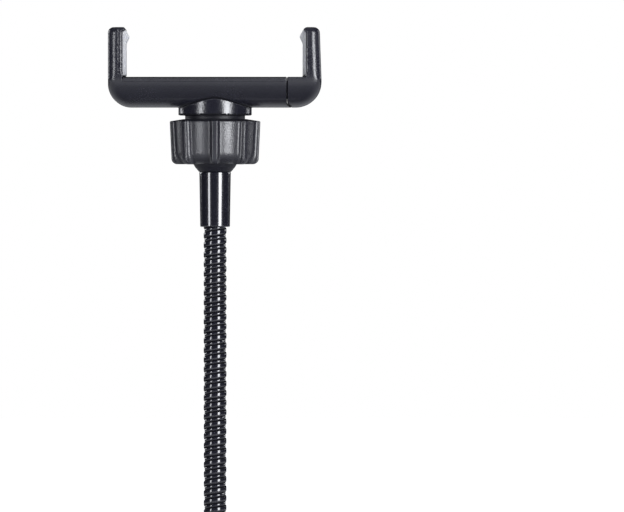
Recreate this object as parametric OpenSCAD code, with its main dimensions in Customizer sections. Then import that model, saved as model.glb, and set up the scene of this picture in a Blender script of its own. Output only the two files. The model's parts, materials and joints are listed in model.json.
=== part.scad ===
// Phone clamp on a flexible metal neck, millimetres, +Z up the neck.
// The origin is the middle of the neck's lower end, where a base or a bracket takes hold of it.
// +X points to the sliding jaw and -Y to the front.

/* [Clamp] */
// Width over both jaws when closed
clamp_w = 74.7; // [72:0.1:84]
// Depth of the jaws and the bed, front to back
clamp_d = 34; // [32:0.5:40]
// Height of the beam that the phone rests on
beam_h = 10.5; // [10:0.25:14]
// Height of the jaws above the bed
jaw_h = 17.4; // [15:0.2:24]
// Thickness of the fixed jaw
fixed_jaw_t = 5.1; // [4.4:0.1:6.5]
// Thickness of the sliding jaw at its foot
sliding_jaw_t = 5.5; // [5:0.1:7]
// Lean of the sliding jaw's outer face
jaw_lean = 2; // [0:0.25:3]
// Roll-under of the fixed jaw's lower outer corner
fixed_heel_r = 8; // [6:0.5:9.5]
// Roll-under of the sliding jaw's lower outer corner
sliding_heel_r = 9.5; // [6:0.5:10]
// Rounding of the jaws' upper corners, seen from the end
jaw_corner_r = 2.4; // [1:0.2:4]
// Rounding of the jaws' top outer edges
jaw_top_r = 2; // [1:0.1:3]
// How far the jaws' tops overhang their inner faces
crest_out = 1; // [0.4:0.1:1.1]
// Height of the overhang's sloping underside
crest_h = 1.7; // [1:0.1:2.2]
// Rounding of the jaws' upright outer edges
jaw_edge_r = 2.6; // [0.8:0.1:3]
// Half width of the beam's underside
belly_half = 10.3; // [9:0.1:12]
// Radius of the beam's hollow-backed sides
belly_r = 27; // [22:1:60]
// Where the sliding jaw parts from the housing, right of the neck's axis
split_x = 25.2; // [22:0.1:26]
// Seam between the housing and the sliding jaw
seam = 0.1; // [0.1:0.05:0.5]
// Rounding of the sliding jaw's lower corner at the split, with the housing's skirt under it
skirt_r = 2.2; // [1:0.1:3]
// How far the sliding jaw opens
travel = 28; // [15:0.5:30]

/* [Slide] */
// Width of the channel in the housing
channel_w = 21.6; // [20:0.2:22]
// Floor thickness under the channel
floor_t = 3; // [2.4:0.1:3.4]
// Thickness of the bed cover over the channel
cover_t = 1.2; // [1:0.1:1.6]
// Running clearance of the tongue in its channel
slide_gap = 0.3; // [0.1:0.05:0.4]
// Thickness of the tongue's upper flange
flange_t = 2; // [1.6:0.1:2.4]
// Width of the tongue's stem between the springs
stem_w = 12; // [9:0.5:12]
// Outside diameter of the tension springs
spring_d = 3.1; // [2.4:0.1:3.2]
// Wire of the tension springs
spring_wire = 0.5; // [0.3:0.05:0.6]
// Diameter of the spring pins
spring_pin_d = 1.6; // [1.2:0.1:1.8]
// Diameter of the pin that stops the slide
stop_pin_d = 2.4; // [1.6:0.1:3]
// Thread diameter of the cover screws
screw_d = 2; // [1.6:0.1:2.2]

/* [Pads] */
// Width of the soft pads
pad_w = 17; // [10:0.5:26]
// Thickness of the soft pads
pad_t = 1.15; // [0.8:0.05:1.6]
// How far a pad's lip stands proud of the pad
lip_out = 1; // [0.4:0.1:1.6]
// Drop from the jaw's top to the lip's edge
lip_drop = 3.2; // [2.6:0.1:4]

/* [Ball joint] */
// Diameter of the ball
ball_d = 17; // [16:0.1:17.4]
// Running clearance of the ball in its seat
seat_gap = 0.05; // [0.02:0.01:0.1]
// Outside diameter of the threaded socket
socket_d = 21; // [20.4:0.1:22]
// How far the socket reaches below the ball's middle
socket_wrap = 2.6; // [1.5:0.1:2.8]
// Width of the slots between the socket's fingers
slot_w = 1; // [0.6:0.1:1.6]
// Diameter of the boss under the beam
boss_d = 25.7; // [24:0.1:28]
// Depth of the boss below the beam
boss_h = 2.8; // [2:0.1:4]
// Diameter of the nut between its ribs
nut_d = 28; // [27:0.1:30]
// Diameter over the nut's ribs
rib_d = 31.8; // [30.6:0.1:34]
// Number of ribs round the nut
rib_n = 8; // [5:1:12]
// Width of a rib
rib_w = 2.1; // [1.4:0.1:3]
// Height of the nut's sides
nut_h = 15.1; // [14.5:0.1:17]
// Rise of the nut's top to its bore
nut_crown = 1; // [0.4:0.1:1.4]
// Hollow rounding between a rib and the nut's side
rib_fillet = 1.3; // [0.5:0.1:2]
// Rounding of a rib's outer edges
rib_edge_r = 0.5; // [0.2:0.1:0.6]
// How far the nut reaches below the ball's middle
nut_below = 3.8; // [3.6:0.1:4.4]

/* [Neck] */
// Outside diameter over the wide coil
neck_d = 8; // [7:0.1:9]
// Diameter over the narrow coil, set back between the wide turns
narrow_d = 7.4; // [6.9:0.1:7.8]
// Diameter at the bottom of the grooves
root_d = 6.9; // [6.2:0.1:7.2]
// Rise of the coil in one turn
pitch = 3.35; // [3:0.05:4]
// Turns of the coil in one stretch of the neck
stretch_turns = 8; // [6:1:10]
// Turns of the coil that sit inside each sleeve
tail_turns = 2; // [1:1:3]
// Length of the end sleeves
sleeve_len = 19.3; // [16:0.1:24]
// Diameter of a sleeve at its outer end
sleeve_d = 11.05; // [10.6:0.05:12]
// Diameter of the upper sleeve where the neck enters
sleeve_mouth_d = 10.4; // [10:0.05:11]
// Height of the ball's middle above the upper sleeve
ball_rise = 6.5; // [6.3:0.1:8]

/* [Hidden] */
$fn = 64;

// Heights, from the neck's lower end up.
stretch_n = 5;
neck_z = sleeve_len;
stretch_len = stretch_turns * pitch;
sleeve_z = neck_z + stretch_n * stretch_len;
sleeve_top_z = sleeve_z + sleeve_len;
ball_z = sleeve_top_z + ball_rise;
nut_z = ball_z - nut_below;
nut_top_z = nut_z + nut_h;
nut_gap = 1;
boss_z = nut_top_z + nut_crown + nut_gap;
beam_z = boss_z + boss_h;
bed_z = beam_z + beam_h;
jaw_top_z = bed_z + jaw_h;
jaw_full_h = beam_h + jaw_h;

// Widths of the clamp.
end_x = clamp_w / 2;
fixed_face_x = fixed_jaw_t - end_x;
sliding_face_x = end_x - sliding_jaw_t;
half_d = clamp_d / 2;
spare = 1;

// The channel, the tongue in it and the springs beside its stem.
cover_z = bed_z - cover_t;
channel_z = beam_z + floor_t;
channel_x = fixed_face_x + 2.1;
tongue_x = channel_x + 4;
tongue_top_z = cover_z - slide_gap;
flange_z = tongue_top_z - flange_t;
stem_z = channel_z + slide_gap;
flange_w = channel_w - 2 * slide_gap;
spring_y = (stem_w + channel_w) / 4;
spring_z = (stem_z + flange_z) / 2;
spring_start_x = channel_x + 2;
spring_end_x = sliding_face_x - 3.5;
pin_depth = 1.6;
pin_z = channel_z - pin_depth;
pin_top_z = flange_z - 0.2;
jaw_pin_top_z = flange_z + 1.2;
pocket_w = spring_d + 0.6;
pocket_end_x = spring_end_x + 2.4;
stop_x = 10;
stop_slot_w = stop_pin_d + 2 * slide_gap;
tongue_root_x = split_x + 2;

// The bed cover's screws, in the rims beside the channel.
screw_inset = 3;
screw_y = (channel_w / 2 + half_d) / 2 - 1;
screw_len = 3.2;
screw_hole_len = screw_len + 0.2;
screw_head_h = 0.8;
screw_slot_w = 0.4;
screw_gap = 0.1;

// The frame of the sliding jaw's leaning outer face: its foot, and its place for the top's rounding.
lean_foot = [end_x - sliding_heel_r * (1 - cos(jaw_lean) - sin(jaw_lean)),
    beam_z + sliding_heel_r * sin(jaw_lean)];
lean_top = (jaw_top_z - lean_foot[1] + jaw_top_r * (sin(jaw_lean) - cos(jaw_lean))) / cos(jaw_lean);

// The skirt of the housing under the sliding jaw's rounded lower corner.
skirt_x = split_x + seam + skirt_r;
skirt_z = beam_z + seam + skirt_r;
skirt_end_x = skirt_x - 0.35 * skirt_r;

// Soft pads.
bead_r = pad_t / 2 + 0.025;
bead_len = clamp_d - 4;
pad_foot_z = bed_z + bead_r + 0.05;
crest_z = jaw_top_z - crest_h;
crest_nose_z = jaw_top_z - crest_h / 2;
inner_top_r = 0.55;
lip_z = jaw_top_z - lip_drop;
lip_foot = 2.2;
lip_crest = 0.3;

// Socket, seat and nut.
seat_r = ball_d / 2 + seat_gap;
socket_z = ball_z - socket_wrap;
thread_gap = 0.08;
nut_bore_r = socket_d / 2 + thread_gap;
relief_r = ball_d / 2 + 0.45;
nut_draft = 0.6;
nut_foot_r = 2.8;
nut_rim = 0.6;
nut_mouth_z = nut_z + 1;
nut_mouth_r = ball_d / 2 + 0.5;
nut_mouth_h = 1.9;
overlap = 0.01;
socket_lead = 1.8;
socket_lead_in = 1.6;

// Neck: six points make one turn's outline, from the bottom of one groove to the next.
coil_outline = [root_d, neck_d - 0.2, neck_d, neck_d - 0.2, root_d, narrow_d] / 2;
outline_n = len(coil_outline);
columns = 18;
bore_gap = 0.05;
stem_d = 6;
stem_len = 8;

plastic = [0.16, 0.16, 0.19];
soft_grey = [0.84, 0.85, 0.88];
gloss_black = [0.11, 0.11, 0.13];
steel = [0.66, 0.67, 0.69];

// Flat shapes and cutters

// What a corner of radius r loses: put the corner's centre at the origin, the corner at +X +Y.
module corner_cut(r) {
    difference() {
        square(r + spare);
        circle(r);
    }
}

// The clamp seen from its end: upright jaw above, sides drawn in under the bed.
module end_outline() {
    chord = [half_d - belly_half, cover_z - beam_z];
    chord_len = norm(chord);
    mid = [half_d, cover_z] - chord / 2;
    across = [-chord[1], chord[0]] / chord_len;
    belly_centre = mid + across * sqrt(belly_r * belly_r - chord_len * chord_len / 4);
    difference() {
        translate([-half_d, beam_z]) square([clamp_d, jaw_full_h]);
        for (side = [0, 1]) mirror([side, 0]) {
            translate([half_d - jaw_corner_r, jaw_top_z - jaw_corner_r]) corner_cut(jaw_corner_r);
            difference() {
                translate([belly_half - spare, beam_z - spare])
                    square([half_d - belly_half + 2 * spare, cover_z - beam_z + spare]);
                translate(belly_centre) circle(belly_r);
            }
        }
    }
}

// The clamp seen from above, with its upright outer edges rounded.
module plan_outline(length) {
    difference() {
        translate([-length, -half_d]) square([length, clamp_d]);
        for (side = [0, 1]) mirror([0, side])
            translate([-jaw_edge_r, half_d - jaw_edge_r]) corner_cut(jaw_edge_r);
    }
}

// A jaw's overhanging top, with the jaw's inner face on the Y axis and the pad to its right.
module crest_outline() {
    difference() {
        polygon([[-spare, crest_z - spare], [0, crest_z], [crest_out, crest_nose_z],
            [crest_out, jaw_top_z], [-spare, jaw_top_z]]);
        translate([crest_out - inner_top_r, jaw_top_z - inner_top_r]) corner_cut(inner_top_r);
    }
}

// Where the skirt lies: the corner under a quarter round about one centre for both pieces.
module skirt_outline(reach, r) {
    difference() {
        translate([split_x - spare, beam_z]) square([reach - split_x + spare, skirt_z - beam_z]);
        translate([skirt_x, skirt_z]) circle(r);
    }
}

module fixed_front_outline() {
    difference() {
        union() {
            translate([-end_x, beam_z]) square([end_x + split_x, cover_z - beam_z]);
            translate([-end_x, beam_z]) square([fixed_jaw_t, jaw_full_h]);
            translate([fixed_face_x, 0]) crest_outline();
            skirt_outline(skirt_end_x, skirt_r + seam);
        }
        translate([jaw_top_r - end_x, jaw_top_z - jaw_top_r]) mirror([1, 0]) corner_cut(jaw_top_r);
        translate([fixed_heel_r - end_x, beam_z + fixed_heel_r]) rotate(180) corner_cut(fixed_heel_r);
    }
}

module sliding_front_outline() {
    difference() {
        union() {
            translate([split_x + seam, beam_z]) square([end_x - split_x - seam, beam_h]);
            translate([sliding_face_x, beam_z]) square([sliding_jaw_t, jaw_full_h]);
            translate([sliding_face_x, 0]) mirror([1, 0]) crest_outline();
        }
        translate(lean_foot) rotate(jaw_lean) {
            translate([0, -spare]) square([2 * spare, jaw_full_h + 2 * spare]);
            translate([-jaw_top_r, lean_top]) corner_cut(jaw_top_r);
            translate([-sliding_heel_r, sliding_heel_r]) mirror([0, 1]) corner_cut(sliding_heel_r);
        }
        skirt_outline(skirt_end_x + seam, skirt_r);
    }
}

// Stands a front outline up and gives it its depth.
module across_depth(depth) {
    rotate([90, 0, 0]) linear_extrude(depth, center = true) children();
}

// Stands an end outline up and gives it its length along X.
module along_width(from_x, to_x) {
    translate([from_x, 0, 0]) rotate([90, 0, 90]) linear_extrude(to_x - from_x) children();
}

// Clamp

module fixed_half_form() {
    intersection() {
        across_depth(clamp_d) fixed_front_outline();
        along_width(-end_x, skirt_end_x) end_outline();
        translate([-end_x, 0, beam_z]) mirror([1, 0, 0])
            linear_extrude(jaw_full_h) plan_outline(end_x + skirt_end_x);
    }
}

module channel() {
    translate([channel_x, -channel_w / 2, channel_z])
        cube([split_x - channel_x + spare, channel_w, cover_z - channel_z + spare]);
}

// The seat's mouth is narrower than the ball, so the slotted fingers have to spring over it.
module ball_socket() {
    difference() {
        union() {
            translate([0, 0, boss_z]) cylinder(d = boss_d, h = channel_z + spare - boss_z);
            translate([0, 0, socket_z + socket_lead]) cylinder(d = socket_d, h = boss_z - socket_z);
            translate([0, 0, socket_z])
                cylinder(r1 = socket_d / 2 - socket_lead_in, r2 = socket_d / 2, h = socket_lead);
        }
        translate([0, 0, ball_z]) sphere(seat_r);
        for (turn = [45, 135]) rotate(turn)
            translate([-boss_d, -slot_w / 2, socket_z - spare])
                cube([2 * boss_d, slot_w, socket_wrap + seat_r * 0.8 + spare]);
    }
}

module screw_places() {
    for (x = [channel_x + screw_inset, split_x - screw_inset], side = [-1, 1])
        translate([x, side * screw_y, cover_z]) children();
}

module spring_pin_places(x) {
    for (side = [-1, 1]) translate([x, side * spring_y, 0]) children();
}

module clamp_body() {
    color(plastic) difference() {
        union() {
            fixed_half_form();
            ball_socket();
        }
        channel();
        screw_places() translate([0, 0, -screw_hole_len]) cylinder(d = screw_d, h = screw_hole_len + spare);
        spring_pin_places(spring_start_x)
            translate([0, 0, pin_z]) cylinder(d = spring_pin_d, h = channel_z - pin_z + spare);
        translate([stop_x, 0, pin_z]) cylinder(d = stop_pin_d, h = channel_z - pin_z + spare);
    }
}

// A small bead along the cover's end stands in the corner under the fixed pad.
module bed_cover() {
    color(plastic) difference() {
        union() {
            translate([fixed_face_x, -half_d, cover_z])
                cube([split_x - fixed_face_x, clamp_d, cover_t]);
            translate([fixed_face_x + bead_r, 0, bed_z]) rotate([90, 0, 0])
                cylinder(r = bead_r, h = bead_len, center = true);
        }
        screw_places() {
            translate([0, 0, -spare]) cylinder(d = screw_d + 2 * screw_gap, h = cover_t + 2 * spare);
            translate([0, 0, cover_t - screw_head_h - screw_gap])
                cylinder(d1 = screw_d + 2 * screw_gap, d2 = 2 * screw_d, h = screw_head_h + screw_gap);
        }
    }
}

module cover_screws() {
    color(steel) screw_places() difference() {
        union() {
            translate([0, 0, -screw_len]) cylinder(d = screw_d, h = screw_len + cover_t - screw_gap);
            translate([0, 0, cover_t - screw_head_h])
                cylinder(d1 = screw_d, d2 = 2 * (screw_d - 2 * screw_gap), h = screw_head_h - screw_gap);
        }
        for (turn = [0, 90]) rotate(turn)
            translate([0, 0, cover_t]) cube([screw_d, screw_slot_w, 3 * screw_slot_w], center = true);
    }
}

module stop_pin() {
    color(steel) translate([stop_x, 0, pin_z]) cylinder(d = stop_pin_d, h = pin_top_z - pin_z);
}

// Tongue of the sliding jaw: a flange that runs along the channel's walls and a stem with the stop's slot.
module tongue() {
    difference() {
        union() {
            translate([tongue_x, -flange_w / 2, flange_z])
                cube([tongue_root_x - tongue_x, flange_w, flange_t]);
            translate([tongue_x, -stem_w / 2, stem_z])
                cube([tongue_root_x - tongue_x, stem_w, flange_z - stem_z + spare]);
        }
        translate([stop_x - travel, 0, stem_z - spare]) {
            cylinder(d = stop_slot_w, h = flange_z - stem_z + spare);
            translate([0, -stop_slot_w / 2, 0]) cube([travel, stop_slot_w, flange_z - stem_z + spare]);
            translate([travel, 0, 0]) cylinder(d = stop_slot_w, h = flange_z - stem_z + spare);
        }
    }
}

module sliding_jaw() {
    color(plastic) difference() {
        union() {
            intersection() {
                across_depth(clamp_d) sliding_front_outline();
                along_width(split_x, end_x + spare) end_outline();
                translate([lean_foot[0], 0, lean_foot[1]]) rotate([0, -jaw_lean, 0]) translate([0, 0, -spare])
                    linear_extrude(jaw_full_h + 2 * spare) plan_outline(end_x);
            }
            tongue();
            translate([sliding_face_x - bead_r, 0, bed_z]) rotate([90, 0, 0])
                cylinder(r = bead_r, h = bead_len, center = true);
        }
        for (side = [-1, 1])
            translate([split_x - spare, side * spring_y - pocket_w / 2, spring_z - pocket_w / 2])
                cube([pocket_end_x - split_x + spare, pocket_w, pocket_w]);
        spring_pin_places(spring_end_x)
            translate([0, 0, pin_z]) cylinder(d = spring_pin_d, h = jaw_pin_top_z - pin_z);
    }
}

// Springs

// Close-wound tension spring along X, with a loop at each end that drops over its pin, and the
// straight wire that carries the loop across the coil's end.
module tension_spring() {
    loop_r = spring_pin_d / 2 + 0.15 + spring_wire / 2;
    body_from = spring_start_x + loop_r;
    body_len = spring_end_x - spring_start_x - 2 * loop_r;
    coils = floor(body_len / (2 * spring_wire));
    coil_pitch = body_len / coils;
    outer = spring_d / 2;
    inner = outer - spring_wire;
    crest = [for (i = [0:coils - 1]) each [
        [outer - spring_wire / 2, i * coil_pitch], [outer, (i + 0.5) * coil_pitch]]];
    translate([body_from, 0, 0]) rotate([0, 90, 0]) rotate_extrude()
        polygon(concat([[inner, 0]], crest, [[outer - spring_wire / 2, body_len], [inner, body_len]]));
    for (x = [spring_start_x, spring_end_x])
        translate([x, 0, 0]) rotate_extrude() translate([loop_r, 0]) circle(spring_wire / 2);
    for (x = [body_from, body_from + body_len])
        translate([x, 0, 0]) cylinder(d = 0.9 * spring_wire, h = 2 * inner + spring_wire, center = true);
}

module front_spring() {
    color(steel) translate([0, -spring_y, spring_z]) tension_spring();
}

module rear_spring() {
    color(steel) translate([0, spring_y, spring_z]) tension_spring();
}

module housing_spring_pins() {
    color(steel) spring_pin_places(spring_start_x)
        translate([0, 0, pin_z]) cylinder(d = spring_pin_d, h = pin_top_z - pin_z);
}

module jaw_spring_pins() {
    color(steel) spring_pin_places(spring_end_x)
        translate([0, 0, pin_z]) cylinder(d = spring_pin_d, h = jaw_pin_top_z - pin_z);
}

// Pads

// A pad's section, with the jaw's face on the Y axis and the pad to its right.
module pad_outline() {
    polygon([[0, pad_foot_z], [pad_t, pad_foot_z], [pad_t, lip_z - lip_foot], [pad_t + lip_out, lip_z],
        [pad_t + 0.9 * lip_out, lip_z + lip_crest], [crest_out, crest_nose_z], [0, crest_z]]);
}

module fixed_jaw_pad() {
    color(soft_grey) translate([fixed_face_x, 0, 0]) across_depth(pad_w) pad_outline();
}

module sliding_jaw_pad() {
    color(soft_grey) translate([sliding_face_x, 0, 0]) mirror([1, 0, 0]) across_depth(pad_w) pad_outline();
}

// Ball joint

// Side of the nut from its foot's rounding to its top edge, drawn in by the draft.
module nut_side(r, floor_r) {
    difference() {
        polygon([[floor_r, nut_z], [r - nut_draft, nut_z], [r, nut_top_z],
            [nut_bore_r + nut_rim, nut_top_z + nut_crown], [floor_r, nut_top_z + nut_crown]]);
        translate([r - nut_draft - nut_foot_r, nut_z + nut_foot_r]) mirror([0, 1]) corner_cut(nut_foot_r);
    }
}

// One rib seen from above, pointing along X: round outer edges, and a hollow rounding on each side.
module rib_outline() {
    root_x = nut_d / 2 - 3;
    tip_x = rib_d / 2;
    hollow = [sqrt(pow(nut_d / 2 + rib_fillet, 2) - pow(rib_w / 2 + rib_fillet, 2)), rib_w / 2 + rib_fillet];
    touch_y = hollow[1] * (nut_d / 2) / (nut_d / 2 + rib_fillet);
    translate([root_x, -rib_w / 2]) square([tip_x - rib_edge_r - root_x, rib_w]);
    translate([root_x, rib_edge_r - rib_w / 2]) square([tip_x - root_x, rib_w - 2 * rib_edge_r]);
    for (side = [0, 1]) mirror([0, side]) {
        translate([tip_x - rib_edge_r, rib_w / 2 - rib_edge_r]) circle(rib_edge_r);
        difference() {
            translate([root_x, 0]) square([hollow[0] - root_x, touch_y]);
            translate(hollow) circle(rib_fillet);
        }
    }
}

module locking_nut() {
    color(plastic) difference() {
        union() {
            rotate_extrude() nut_side(nut_d / 2, 0);
            intersection() {
                rotate_extrude() nut_side(rib_d / 2, 0);
                translate([0, 0, nut_z]) linear_extrude(nut_h + nut_crown)
                    for (i = [0:rib_n - 1]) rotate(i * 360 / rib_n - 90) rib_outline();
            }
        }
        translate([0, 0, ball_z]) sphere(relief_r);
        translate([0, 0, nut_mouth_z]) cylinder(r1 = nut_mouth_r, r2 = nut_bore_r, h = nut_mouth_h);
        translate([0, 0, nut_mouth_z + nut_mouth_h - overlap])
            cylinder(r = nut_bore_r, h = nut_h + nut_crown);
    }
}

module ball_stud() {
    foot_r = sleeve_d / 2 + 0.2;
    color(plastic) union() {
        difference() {
            translate([0, 0, ball_z]) sphere(d = ball_d);
            translate([0, 0, sleeve_top_z - ball_d]) cylinder(d = ball_d, h = ball_d);
        }
        translate([0, 0, sleeve_top_z]) cylinder(r1 = foot_r, r2 = foot_r + 0.97, h = 1.3);
        translate([0, 0, sleeve_top_z - stem_len]) cylinder(d = stem_d, h = stem_len + spare);
    }
}

// Neck

module upper_sleeve() {
    color(gloss_black) difference() {
        translate([0, 0, sleeve_z]) cylinder(d1 = sleeve_mouth_d, d2 = sleeve_d, h = sleeve_len);
        translate([0, 0, sleeve_z - spare])
            cylinder(d = neck_d + 2 * bore_gap, h = tail_turns * pitch + bore_gap + spare);
        translate([0, 0, sleeve_top_z - stem_len - bore_gap])
            cylinder(d = stem_d + 2 * bore_gap, h = stem_len + spare);
    }
}

module lower_sleeve() {
    color(gloss_black) difference() {
        cylinder(d = sleeve_d, h = sleeve_len);
        translate([0, 0, neck_z - tail_turns * pitch - bore_gap])
            cylinder(d = neck_d + 2 * bore_gap, h = tail_turns * pitch + bore_gap + spare);
    }
}

// Radius of the coil's outline at a phase of 0 to 1 along one turn.
function outline_r(phase) =
    let (place = (phase - floor(phase)) * outline_n, i = floor(place), part = place - i)
    coil_outline[i] * (1 - part) + coil_outline[(i + 1) % outline_n] * part;

// A right-handed coil as one closed skin. Its rows of points climb with the coil, column by column round
// the axis, and each column ends exactly on the flat at z = 0 and on the flat at the top.
module coil(turns) {
    rows = turns * outline_n;
    first = [for (c = [0:columns]) 1 - ceil(c * outline_n / columns)];
    last = [for (c = [0:columns]) rows - floor(c * outline_n / columns) - 1];
    count = [for (c = [0:columns - 1]) last[c] - first[c] + 3];
    start = [for (c = 0, at = 0; c < columns; at = at + count[c], c = c + 1) at];
    points = [for (c = [0:columns - 1])
        let (a = c * 360 / columns, lead = c / columns, end_r = outline_r(-lead))
        each concat(
            [[end_r * cos(a), end_r * sin(a), 0]],
            [for (row = [first[c]:last[c]])
                let (r = coil_outline[(row + outline_n * columns) % outline_n])
                [r * cos(a), r * sin(a), (row / outline_n + lead) * pitch]],
            [[end_r * cos(a), end_r * sin(a), turns * pitch]])];
    // After the last column comes the first again, one turn of rows further on.
    function spot(c, row) = c < columns ? start[c] + 1 + row - first[c]
        : start[0] + 1 + row + outline_n - first[0];
    function low(c) = start[c % columns];
    function high(c) = start[c % columns] + count[c % columns] - 1;
    skin = [for (c = [0:columns - 1]) let (d = c + 1) each concat(
        [[low(c), spot(d, first[d]), low(d)], [high(c), high(d), spot(c, last[c])]],
        first[d] < first[c] ? [[low(c), spot(d, first[c]), spot(d, first[d])]] : [],
        [[low(c), spot(c, first[c]), spot(d, first[c])]],
        [for (row = [first[c]:last[d] - 1]) each [
            [spot(c, row), spot(c, row + 1), spot(d, row + 1)],
            [spot(c, row), spot(d, row + 1), spot(d, row)]]],
        last[d] < last[c] ? [[spot(c, last[d]), spot(c, last[c]), spot(d, last[d])]] : [],
        [[spot(c, last[c]), high(d), spot(d, last[d])]])];
    ends = [[for (c = [0:columns - 1]) low(c)], [for (c = [columns - 1:-1:0]) high(c)]];
    polyhedron(points, concat(skin, ends));
}

// Stretch i of the neck, counted from the bottom; the outer two run on into their sleeves.
module neck_stretch(i) {
    tail_below = i == 1 ? tail_turns : 0;
    tail_above = i == stretch_n ? tail_turns : 0;
    color(gloss_black) translate([0, 0, neck_z + (i - 1) * stretch_len - tail_below * pitch])
        coil(stretch_turns + tail_below + tail_above);
}

clamp_body();
bed_cover();
cover_screws();
fixed_jaw_pad();
sliding_jaw();
sliding_jaw_pad();
front_spring();
rear_spring();
housing_spring_pins();
jaw_spring_pins();
stop_pin();
locking_nut();
ball_stud();
upper_sleeve();
neck_stretch(1);  // neck_stretch_1
neck_stretch(2);  // neck_stretch_2
neck_stretch(3);  // neck_stretch_3
neck_stretch(4);  // neck_stretch_4
neck_stretch(5);  // neck_stretch_5
lower_sleeve();
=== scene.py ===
# %% [markdown]
# A phone clamp stands on a coiled metal neck. The clamp is black moulded plastic with pale soft pads, a
# ball joint with a ribbed nut holds it, and a gloss sleeve joins the ball to the neck. The rigid frame is
# loaded first, and every piece made here sits exactly where the frame says.

import json
import math

import bpy
import numpy as np
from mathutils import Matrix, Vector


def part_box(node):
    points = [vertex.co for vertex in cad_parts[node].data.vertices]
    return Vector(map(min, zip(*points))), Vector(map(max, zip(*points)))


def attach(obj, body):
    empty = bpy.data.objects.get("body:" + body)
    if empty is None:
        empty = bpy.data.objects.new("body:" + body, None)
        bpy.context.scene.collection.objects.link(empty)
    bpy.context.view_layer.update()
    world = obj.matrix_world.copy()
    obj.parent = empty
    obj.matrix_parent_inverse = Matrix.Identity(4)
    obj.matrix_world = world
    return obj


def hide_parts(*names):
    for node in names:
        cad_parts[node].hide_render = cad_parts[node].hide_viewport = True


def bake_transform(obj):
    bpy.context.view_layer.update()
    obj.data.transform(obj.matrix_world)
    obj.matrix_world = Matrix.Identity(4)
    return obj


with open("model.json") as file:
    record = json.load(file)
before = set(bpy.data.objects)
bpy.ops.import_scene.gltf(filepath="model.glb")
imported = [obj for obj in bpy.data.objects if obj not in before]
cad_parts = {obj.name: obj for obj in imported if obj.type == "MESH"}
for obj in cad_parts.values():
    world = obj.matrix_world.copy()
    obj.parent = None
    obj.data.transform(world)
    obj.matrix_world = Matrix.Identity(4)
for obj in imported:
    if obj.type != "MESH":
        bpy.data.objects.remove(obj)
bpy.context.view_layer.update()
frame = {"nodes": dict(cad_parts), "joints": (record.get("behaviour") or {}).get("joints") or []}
MM = 0.001

# %% [markdown]
# The camera comes first, because it decides what counts. It stands level in front of the clamp, far enough
# away that the two jaws are seen square on, and the middle of its frame lies to the right of the holder. The
# lens follows from the distance and the width it has to take in, so either can change and the framing stays.

# %% Place the camera
scene = bpy.context.scene
view_centre = (34.0 * MM, 143.1 * MM)
view_width = 218.9 * MM
view_distance = 4.0
sensor_width = 36.0

camera_data = bpy.data.cameras.new("camera")
camera_data.sensor_width = sensor_width
camera_data.lens = sensor_width * view_distance / view_width
camera = bpy.data.objects.new("camera", camera_data)
camera.location = (view_centre[0], -view_distance, view_centre[1])
camera.rotation_euler = (math.radians(90), 0, 0)
scene.collection.objects.link(camera)
scene.camera = camera
scene.view_settings.view_transform = "Standard"
print("lens", round(camera_data.lens, 1), "mm")

# %% [markdown]
# Gloss black shows little of itself and much of the room. Small lamps would leave dots on it, so every lamp
# here is a soft box. Two tall ones in front, one on each side, draw the upright streaks that make the sleeve
# read as round. Two weak ones behind the shoulders lift the far edges, and one overhead softens the shadow.
# A mid grey still renders as a mid grey under them.

# %% Light it with tall soft boxes
lamp_distance = 0.9
lamp_colour = (0.95, 0.965, 1.0)


def soft_box(name, azimuth, height, width, tall, radiance):
    """An area lamp that looks at the head from an azimuth counted from the camera towards the right."""
    data = bpy.data.lights.new(name, "AREA")
    data.shape = "RECTANGLE"
    data.size = width
    data.size_y = tall
    data.energy = radiance * math.pi * width * tall
    data.color = lamp_colour
    lamp = bpy.data.objects.new(name, data)
    a = math.radians(azimuth)
    lamp.location = (lamp_distance * math.sin(a), -lamp_distance * math.cos(a), height)
    lamp.rotation_euler = (math.radians(90), 0, a)
    scene.collection.objects.link(lamp)
    return lamp


head_height = 0.17
front_height, front_tall = head_height + 0.05, 0.55
rim_height, rim_tall, rim_width = head_height + 0.21, 0.40, 0.24
soft_box("right box", 39, front_height, width=0.34, tall=front_tall, radiance=16.0)
soft_box("left box", -45, front_height, width=0.20, tall=front_tall, radiance=10.5)
soft_box("right rim box", 128, rim_height, rim_width, rim_tall, radiance=3.2)
soft_box("left rim box", -132, rim_height, rim_width, rim_tall, radiance=4.0)
top_box = soft_box("top box", 0, height=0.95, width=0.7, tall=0.5, radiance=1.6)
top_box.rotation_euler = (math.radians(35), 0, 0)
top_box.visible_glossy = False

# %% [markdown]
# The backdrop is plain white, but only to the camera, because a white room all round would wash out the
# black. Is Camera Ray tells the two apart, and the object is lit by a weaker, slightly blue fill.

# %% Set the world
def new_nodes(owner):
    """The empty node tree of a world or a material, as its nodes and its links."""
    owner.use_nodes = True
    owner.node_tree.nodes.clear()
    return owner.node_tree.nodes, owner.node_tree.links


world = bpy.data.worlds.new("studio")
scene.world = world
nodes, links = new_nodes(world)
world_out = nodes.new("ShaderNodeOutputWorld")
world_mix = nodes.new("ShaderNodeMixShader")
world_path = nodes.new("ShaderNodeLightPath")
fill_light = nodes.new("ShaderNodeBackground")
fill_light.inputs["Color"].default_value = (0.90, 0.93, 1.0, 1)
fill_light.inputs["Strength"].default_value = 0.35
white_wall = nodes.new("ShaderNodeBackground")
white_wall.inputs["Color"].default_value = (1, 1, 1, 1)
white_wall.inputs["Strength"].default_value = 1.0
links.new(world_path.outputs["Is Camera Ray"], world_mix.inputs[0])
links.new(fill_light.outputs[0], world_mix.inputs[1])
links.new(white_wall.outputs[0], world_mix.inputs[2])
links.new(world_mix.outputs[0], world_out.inputs["Surface"])
print("world nodes:", len(nodes))

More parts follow.
